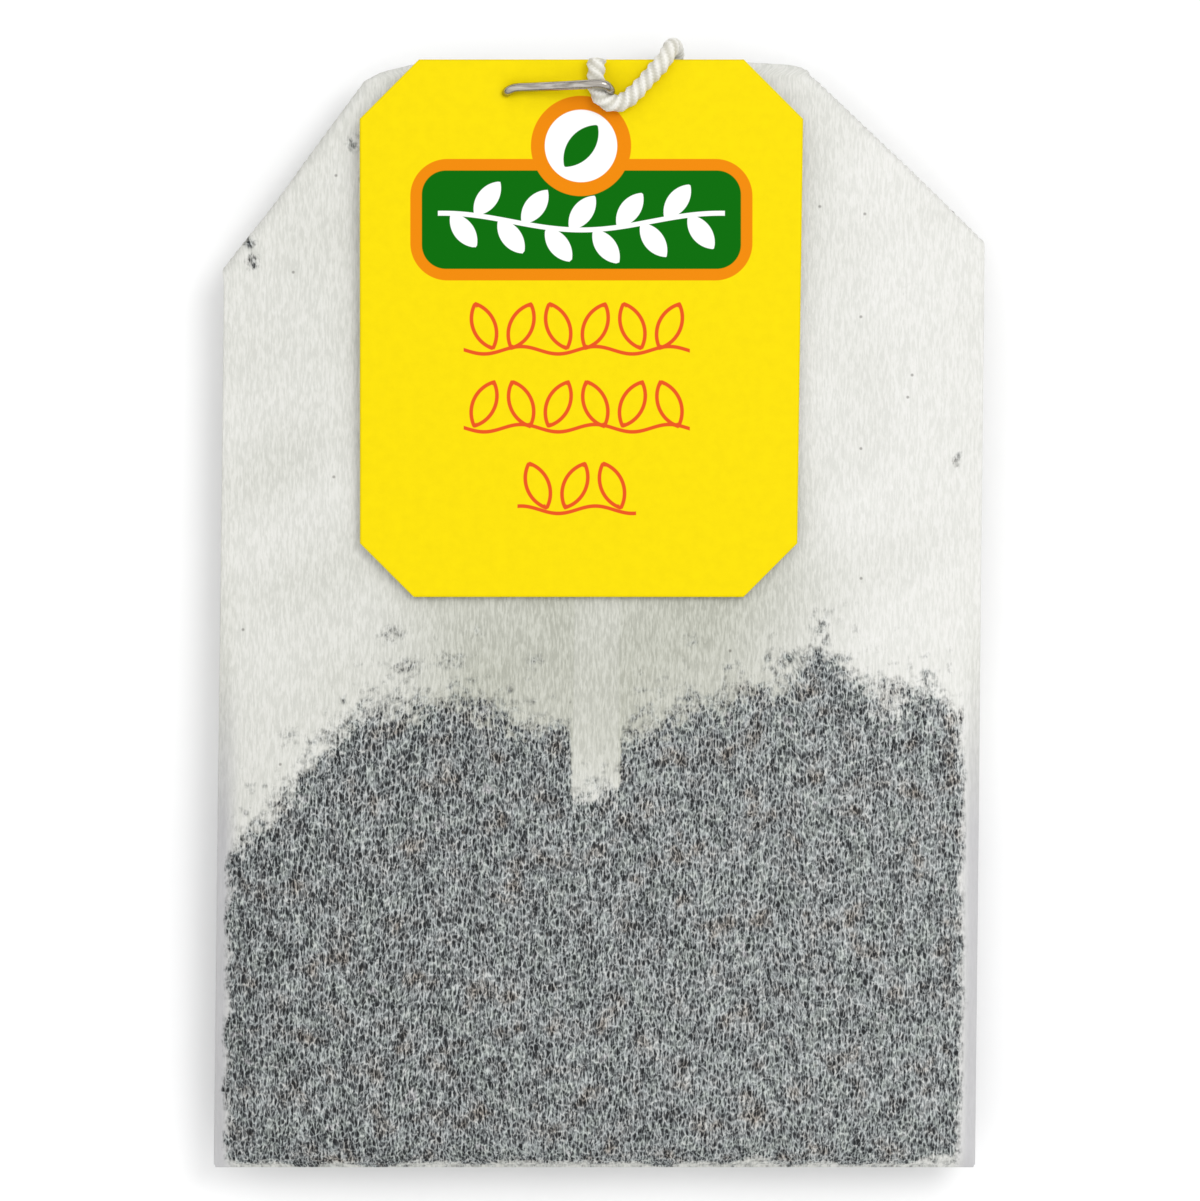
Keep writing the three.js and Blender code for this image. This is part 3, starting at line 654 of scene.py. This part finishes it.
    # a dust speck in some cells of a coarse lattice
    dust = addNode(tree, "TexVoronoi", {"Vector": strip.outputs["Vector"], "Scale": 0.42, "Randomness": 1.0},
                   voronoi_dimensions="2D")
    grain = addNode(tree, "MapRange", {"Value": dust.outputs["Distance"], "From Min": 0.045,
                                       "From Max": 0.02})
    pick = addNode(tree, "SeparateXYZ", {"Vector": dust.outputs["Color"]})
    kept = addNode(tree, "Math", {0: pick.outputs["X"], 1: 0.82}, operation="GREATER_THAN")
    grain = addNode(tree, "Math", {0: grain.outputs["Result"], 1: kept.outputs[0]}, operation="MULTIPLY")
    grain = addNode(tree, "Math", {0: grain.outputs[0], 1: 0.55}, operation="MULTIPLY")
    look = addNode(tree, "Mix", {"Factor": grain.outputs[0], "A": look.outputs["Result"],
                                 "B": linear(paperLook["dust"])}, data_type="RGBA")
    relief = addNode(tree, "Bump", {"Height": web, "Strength": 0.35, "Distance": 0.00003})
    tree.links.new(look.outputs["Result"], shader.inputs["Base Color"])
    tree.links.new(relief.outputs["Normal"], shader.inputs["Normal"])
    shader.inputs["Roughness"].default_value = 0.88
    shader.inputs["Specular IOR Level"].default_value = 0.12
    return material


filterPaper = filterPaperMaterial()
makeChamber("paper_front_chamber", 1, paper["frontFill"], "front", 300, filterPaper)
makeChamber("paper_back_chamber", -1, paper["backFill"], "back", 500, filterPaper)
print("filter paper is folded")

# tag: white-cored card, printed and varnished on its face
card = {
    "left": -12.9, "right": 11.0, "bottom": 0.84, "top": 29.8, "taper": 0.3, "corner": 3.2, "lowCorner": 2.9,
    "thickness": 0.28, "lift": 3.64, "tilt": 0.016, "columns": 161,
}
tagPrint = {
    "panelX": -0.95, "panelY": 21.18, "panelWide": 17.2, "panelTall": 5.3, "panelRound": 1.3,
    "border": 0.62, "borderRound": 2.0, "discX": -0.97, "discY": 25.15, "disc": 1.95, "discRim": 0.75,
    "sprigHalf": 7.6, "rows": (15.1, 10.9, 6.5), "rowHalf": (6.0, 6.0, 3.1), "leafPitch": 2.0,
}
printInks = {"green": "#006400", "orange": "#df8000", "line": "#d9501c", "white": "#f2f2f2"}


def roundedBox(x, y, cx, cy, wide, tall, corner):
    # signed distance to a rounded rectangle, below 0 inside
    dx = np.abs(x - cx) - wide / 2 + corner
    dy = np.abs(y - cy) - tall / 2 + corner
    outside = np.hypot(np.maximum(dx, 0), np.maximum(dy, 0))
    return outside + np.minimum(np.maximum(dx, dy), 0) - corner


def leaf(x, y, cx, cy, turn, length, width):
    # signed distance to a leaf: what two equal circles share
    u = (x - cx) * np.cos(turn) + (y - cy) * np.sin(turn)
    v = np.abs(-(x - cx) * np.sin(turn) + (y - cy) * np.cos(turn))
    radius = (length ** 2 + width ** 2) / (4 * width)
    return np.hypot(u, v + radius - width / 2) - radius


def leafRow(x, y, places, turns, length, width):
    # signed distance to the nearest of several leaves
    field = np.full(x.shape, 5.0)
    for (cx, cy), turn in zip(places, turns):
        field = np.minimum(field, leaf(x, y, cx, cy, turn, length, width))
    return field


def sprigStem(x):
    # height of the sprig's stem, which dips once under the disc
    return tagPrint["panelY"] - 0.1 - 0.45 * np.cos((x - tagPrint["panelX"]) * 0.42)


def sprigLeaves(x, y):
    # pairs of broad leaves along the stem, turned up and down by turns
    across = tagPrint["panelX"] + np.linspace(-6.9, 5.9, 11)
    way = np.where(np.arange(11) % 2, 1, -1)
    places = zip(across + 0.55, sprigStem(across) + way * 0.92)
    return leafRow(x, y, places, way * 0.92, 2.3, 1.1)


def vineStem(x, level):
    # height of a vine's stem, which swings once for every two leaves
    return level - 0.95 + 0.2 * np.sin((x + 1.2) * np.pi / tagPrint["leafPitch"])


def vineLeaves(x, y):
    # rows of outlined leaves, leaning left and right by turns
    places = []
    turns = []
    for row, (level, half) in enumerate(zip(tagPrint["rows"], tagPrint["rowHalf"])):
        count = int(round(2 * half / tagPrint["leafPitch"]))
        places += [(-1.2 - half + (k + 0.5) * tagPrint["leafPitch"], level + 0.35) for k in range(count)]
        turns += [1.15 if (k + row) % 2 else 1.95 for k in range(count)]
    return leafRow(x, y, places, turns, 2.6, 1.2)


def cardMaterial():
    # folding boxboard, offset printed: flat inks under a thin satin varnish, with a faint board mottle
    material, tree, shader = newMaterial("printed boxboard")
    place = addNode(tree, "Attribute", attribute_name="card")
    gaps = {key: addNode(tree, "Attribute", attribute_name=key).outputs["Fac"]
            for key in ("panelGap", "borderGap", "discGap", "rimGap", "sprigGap", "vineGap", "budGap",
                        "sprigStemGap", "vineStemGap", "sprigEndGap", "vineEndGap")}
    mottle = addNode(tree, "TexNoise", {"Vector": place.outputs["Vector"], "Scale": 1.6, "Detail": 5.0,
                                        "Roughness": 0.6})
    colour = colourRamp(tree, mottle.outputs["Fac"], [(0.3, "#e5cd00"), (0.7, "#ead200")])
    edge = 0.035  # width over which one ink gives way to the next
    inks = [  # field, half width of a drawn line, ink
        ("vineGap", 0.1, "line"), ("vineStemGap", 0.1, "line"), ("borderGap", 0, "orange"),
        ("panelGap", 0, "green"), ("rimGap", 0, "orange"), ("sprigGap", 0, "white"),
        ("sprigStemGap", 0.13, "white"), ("discGap", 0, "white"), ("budGap", 0, "green")]
    for key, half, ink in inks:
        gap = gaps[key]
        if half:
            gap = addNode(tree, "Math", {0: gap}, operation="ABSOLUTE").outputs[0]
            if "Stem" in key:
                gap = addNode(tree, "Math", {0: gap, 1: gaps[key.replace("Stem", "End")]},
                              operation="MAXIMUM").outputs[0]
        amount = addNode(tree, "MapRange", {"Value": gap, "From Min": half + edge / 2,
                                            "From Max": half - edge / 2})
        colour = addNode(tree, "Mix", {"Factor": amount.outputs["Result"], "A": colour,
                                       "B": linear(printInks[ink])}, data_type="RGBA").outputs["Result"]
    fine = addNode(tree, "TexNoise", {"Vector": place.outputs["Vector"], "Scale": 9.0, "Detail": 3.0})
    relief = addNode(tree, "Bump", {"Height": fine.outputs["Fac"], "Strength": 0.12, "Distance": 0.00002})
    tree.links.new(colour, shader.inputs["Base Color"])
    tree.links.new(relief.outputs["Normal"], shader.inputs["Normal"])
    shader.inputs["Roughness"].default_value = 0.5
    shader.inputs["Specular IOR Level"].default_value = 0.06
    return material


def rawBoardMaterial():
    # uncoated core and back of the board: off-white, with short fibres
    material, tree, shader = newMaterial("uncoated board")
    place = addNode(tree, "Attribute", attribute_name="card")
    fibre = addNode(tree, "TexNoise", {"Vector": place.outputs["Vector"], "Scale": 4.0, "Detail": 6.0,
                                       "Roughness": 0.7})
    colour = colourRamp(tree, fibre.outputs["Fac"], [(0.3, "#d9d6c6"), (0.7, "#ece9dd")])
    relief = addNode(tree, "Bump", {"Height": fibre.outputs["Fac"], "Strength": 0.3, "Distance": 0.00003})
    tree.links.new(colour, shader.inputs["Base Color"])
    tree.links.new(relief.outputs["Normal"], shader.inputs["Normal"])
    shader.inputs["Roughness"].default_value = 0.9
    return material


def tagPlace(x, y, z):
    # x and y as on the table and z up from the card's underside, turned with the tag about its low edge
    up = y - card["bottom"]
    return np.stack([x, card["bottom"] + up * np.cos(card["tilt"]) - z * np.sin(card["tilt"]),
                     card["lift"] + up * np.sin(card["tilt"]) + z * np.cos(card["tilt"])], axis=-1)


def makeTag():
    # rows go up the card, and each runs between the left and right edge of its cut-cornered outline;
    # the face is pressed in by the wire's ends and curls up a little at the low corners
    tall = card["top"] - card["bottom"]
    rows = np.unique(np.concatenate([np.linspace(0, tall, 195), [card["lowCorner"], tall - card["corner"]]]))
    stops = [0, card["lowCorner"], tall - card["corner"], tall]
    left = np.interp(rows, stops, card["left"] + np.array([card["lowCorner"], 0, 0, card["corner"]]))
    right = np.interp(rows, stops, card["right"] - np.array([
        card["taper"] + card["lowCorner"], card["taper"], 0, card["corner"]]))
    share = np.linspace(0, 1, card["columns"])[None, :]
    x = left[:, None] + (right - left)[:, None] * share
    y = np.broadcast_to((rows + card["bottom"])[:, None], x.shape)
    dent = 0.10 * np.exp(-((x + 4.97) ** 2 + (y - 28.2) ** 2) / 0.35)
    dent = dent + 0.08 * np.exp(-((x - 0.62) ** 2 + (y - 28.25) ** 2) / 0.5)
    curl = 0.10 * ((x + 0.95) / 12) ** 2 * smoothStep(-y, -9, 0)
    piece = makePiece("printed_tag", tagPlace(x, y, card["thickness"] - dent + curl), gridFaces(*x.shape),
                      [cardMaterial(), rawBoardMaterial()])
    panelX, panelY, wide, tall = (tagPrint[key] for key in ("panelX", "panelY", "panelWide", "panelTall"))
    border = tagPrint["border"]
    fromDisc = np.hypot(x - tagPrint["discX"], y - tagPrint["discY"]) - tagPrint["disc"]
    gaps = {
        "panelGap": roundedBox(x, y, panelX, panelY, wide, tall, tagPrint["panelRound"]),
        "borderGap": roundedBox(x, y, panelX, panelY, wide + 2 * border, tall + 2 * border,
                                tagPrint["borderRound"]),
        "discGap": fromDisc,
        "rimGap": fromDisc - tagPrint["discRim"],
        "budGap": leaf(x, y, tagPrint["discX"], tagPrint["discY"], 0.9, 2.9, 1.4),
        "sprigGap": sprigLeaves(x, y),
        "vineGap": vineLeaves(x, y),
        "sprigStemGap": y - sprigStem(x),
        "sprigEndGap": np.abs(x - panelX) - tagPrint["sprigHalf"],
    }
    stems = [vineStem(x, level) for level in tagPrint["rows"]]
    upper = y > (stems[0] + stems[1]) / 2
    lower = y < (stems[1] + stems[2]) / 2
    gaps["vineStemGap"] = np.where(upper, y - stems[0], np.where(lower, y - stems[2], stems[1] - y))
    gaps["vineEndGap"] = np.abs(x + 1.2) - np.where(lower, tagPrint["rowHalf"][2], tagPrint["rowHalf"][0])
    for key, gap in gaps.items():
        setAttribute(piece, key, gap)
    setAttribute(piece, "card", np.stack([x, y, np.zeros_like(x)], axis=-1))
    board = piece.modifiers.new("board", "SOLIDIFY")
    board.thickness = card["thickness"] * mm
    board.offset = -1
    board.material_offset = 1
    board.material_offset_rim = 1
    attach(piece, "root")
    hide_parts("tag")
    return piece


makeTag()
print("tag is printed")


staples = {"diameter": 0.5, "sides": 14, "spacing": 0.07, "chisel": 0.62, "chiselLength": 0.45}  # drawn wire


def wireMaterial():
    # bright drawn aluminium wire: metallic, with fine lines along it from the die
    material, tree, shader = newMaterial("drawn aluminium wire")
    place = addNode(tree, "TexCoord")
    stretched = addNode(tree, "Mapping", {"Vector": place.outputs["Object"],
                                          "Scale": (260.0, 5200.0, 5200.0)})
    line = addNode(tree, "TexNoise", {"Vector": stretched.outputs["Vector"], "Scale": 1.0, "Detail": 3.0})
    colour = colourRamp(tree, line.outputs["Fac"], [(0.3, "#8d877e"), (0.7, "#c6c1ba")])
    rough = addNode(tree, "MapRange", {"Value": line.outputs["Fac"], "To Min": 0.16, "To Max": 0.30})
    relief = addNode(tree, "Bump", {"Height": line.outputs["Fac"], "Strength": 0.25, "Distance": 0.00001})
    tree.links.new(colour, shader.inputs["Base Color"])
    tree.links.new(rough.outputs["Result"], shader.inputs["Roughness"])
    tree.links.new(relief.outputs["Normal"], shader.inputs["Normal"])
    shader.inputs["Metallic"].default_value = 1.0
    return material


def makeStaple(name, node, points, material):
    # round wire along a route bent on small radii; near its two ends its radius falls to a share, as cut
    route, way = smoothRoute(points, staples["spacing"])
    blunt = staples["chisel"]
    thick = blunt + (1 - blunt) * smoothStep(np.minimum(way, way[-1] - way), 0, staples["chiselLength"])

    def radiusAt(row, angle):
        return staples["diameter"] / 2 * thick[row] * np.ones_like(angle)

    piece = sweptTube(name, route, radiusAt, staples["sides"], [material])
    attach(piece, "root")
    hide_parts(node)
    return piece


wire = wireMaterial()
tagStaplePoints = np.array([  # counted from the card's underside
    [-2.9, 28.2, -0.36], [-3.7, 28.18, -0.40], [-4.45, 28.12, -0.36], [-4.85, 28.06, -0.12],
    [-4.97, 28.02, 0.14], [-4.97, 28.03, 0.36], [-4.86, 28.1, 0.54], [-4.55, 28.22, 0.62],
    [-3.4, 28.27, 0.80], [-1.8, 28.31, 1.16], [-0.7, 28.34, 1.46], [0.05, 28.36, 1.56],
    [0.38, 28.28, 1.50], [0.56, 28.14, 1.28], [0.62, 28.08, 0.9], [0.62, 28.08, 0.3],
    [0.56, 28.08, -0.12], [0.2, 28.08, -0.38], [-0.6, 28.08, -0.42], [-1.4, 28.08, -0.36]])
bagStaplePoints = np.array([
    [-0.8, 25.5, 3.62], [-1.5, 25.48, 3.68], [-2.15, 25.45, 3.66], [-2.46, 25.42, 3.45], [-2.5, 25.4, 3.1],
    [-2.5, 25.4, 2.0], [-2.5, 25.4, 0.8], [-2.42, 25.4, 0.48], [-2.1, 25.4, 0.37], [-1.0, 25.4, 0.36],
    [0, 25.4, 0.35], [1.0, 25.4, 0.36], [2.1, 25.4, 0.37], [2.42, 25.4, 0.48], [2.5, 25.4, 0.8],
    [2.5, 25.4, 2.0], [2.5, 25.4, 3.1], [2.46, 25.38, 3.45], [2.15, 25.35, 3.66], [1.5, 25.32, 3.68],
    [0.8, 25.3, 3.62]])
placed = tagPlace(tagStaplePoints[:, 0], tagStaplePoints[:, 1], tagStaplePoints[:, 2])
makeStaple("tag_staple_wire", "tag_staple", placed, wire)
makeStaple("bag_staple_wire", "bag_staple", bagStaplePoints, wire)
print("staples are bent")


tea = {  # broken leaf, one dose in each chamber: crumb spacing, room to the paper, lattice box
    "crumb": 0.78, "clear": 0.42, "side": 19.2, "foot": -28.9, "top": -1.5, "layers": (0.12, 0.5, 0.88),
    "inside": 19.1, "leastRoom": 0.12, "shape": (0.5, 0.36, 0.26),
}


def teaMaterial():
    # dry broken black tea: near black to red brown, matt, a little glossy on the leaf's edges
    material, tree, shader = newMaterial("broken black tea")
    place = addNode(tree, "TexCoord")
    leafy = addNode(tree, "TexNoise", {"Vector": place.outputs["Object"], "Scale": 900.0, "Detail": 5.0,
                                       "Roughness": 0.65})
    colour = colourRamp(tree, leafy.outputs["Fac"], [
        (0.3, "#17120f"), (0.5, "#2b2019"), (0.62, "#46301f"), (0.75, "#6a5137")])
    relief = addNode(tree, "Bump", {"Height": leafy.outputs["Fac"], "Strength": 0.6, "Distance": 0.00008})
    tree.links.new(colour, shader.inputs["Base Color"])
    tree.links.new(relief.outputs["Normal"], shader.inputs["Normal"])
    shader.inputs["Roughness"].default_value = 0.7
    return material


def makeTea(name, node, way, fill, edge, seed, material):
    # crumbs in a jittered lattice that fills the chamber from near its foot up to the heap's edge: each is
    # a twelve-pointed ball, stretched and turned at random
    draw = np.random.default_rng(seed)
    step = tea["crumb"]
    share, y, x = np.meshgrid(tea["layers"], np.arange(tea["foot"], tea["top"], step),
                              np.arange(-tea["side"], tea["side"] + 0.1, step), indexing="ij")
    x, y, share = x.ravel(), y.ravel(), share.ravel()
    x = x + draw.uniform(-0.4, 0.4, len(x)) * step
    y = y + draw.uniform(-0.4, 0.4, len(y)) * step
    inner, outer = chamberLevels(x, y, fill)[:2]
    top = np.interp(x, *heap[edge]) - 0.5 + draw.uniform(-0.5, 0.5, len(x))
    room = outer - inner - 2 * tea["clear"]
    keep = (y < top) & (room > tea["leastRoom"]) & (np.abs(x) < tea["inside"])
    x, y, share, inner, room = (a[keep] for a in (x, y, share, inner, room))
    level = inner + tea["clear"] + share * room
    centre = np.stack([x + paper["lean"] * y, y, paper["midPlane"] + way * level], axis=1)
    golden = (1 + np.sqrt(5)) / 2
    ball = np.array([[-1, golden, 0], [1, golden, 0], [-1, -golden, 0], [1, -golden, 0],
                     [0, -1, golden], [0, 1, golden], [0, -1, -golden], [0, 1, -golden],
                     [golden, 0, -1], [golden, 0, 1], [-golden, 0, -1], [-golden, 0, 1]])
    ball = ball / np.hypot(1, golden)
    sides = np.array([[0, 11, 5], [0, 5, 1], [0, 1, 7], [0, 7, 10], [0, 10, 11], [1, 5, 9], [5, 11, 4],
                      [11, 10, 2], [10, 7, 6], [7, 1, 8], [3, 9, 4], [3, 4, 2], [3, 2, 6], [3, 6, 8],
                      [3, 8, 9], [4, 9, 5], [2, 4, 11], [6, 2, 10], [8, 6, 7], [9, 8, 1]])
    count = len(centre)
    size = draw.uniform(0.62, 1.0, (count, 1, 3)) * np.array(tea["shape"]) * step
    rough = draw.uniform(0.72, 1.12, (count, 12, 1))
    shape = ball[None] * size * rough
    turn = draw.uniform(0, 2 * np.pi, count)
    cos, sin = np.cos(turn)[:, None], np.sin(turn)[:, None]
    turned = np.stack([shape[..., 0] * cos - shape[..., 1] * sin, shape[..., 0] * sin + shape[..., 1] * cos,
                       shape[..., 2]], axis=-1)
    points = (centre[:, None] + turned).reshape(-1, 3)
    faces = (np.arange(count)[:, None, None] * 12 + sides[None]).reshape(-1, 3)
    piece = makePiece(name, points, faces, [material], smooth=False)
    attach(piece, "root")
    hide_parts(node)
    print("%s: %d crumbs" % (name, count))
    return piece


brokenTea = teaMaterial()
makeTea("tea_crumbs_front", "tea_front_chamber", 1, paper["frontFill"], "front", 61, brokenTea)
makeTea("tea_crumbs_back", "tea_back_chamber", -1, paper["backFill"], "back", 62, brokenTea)
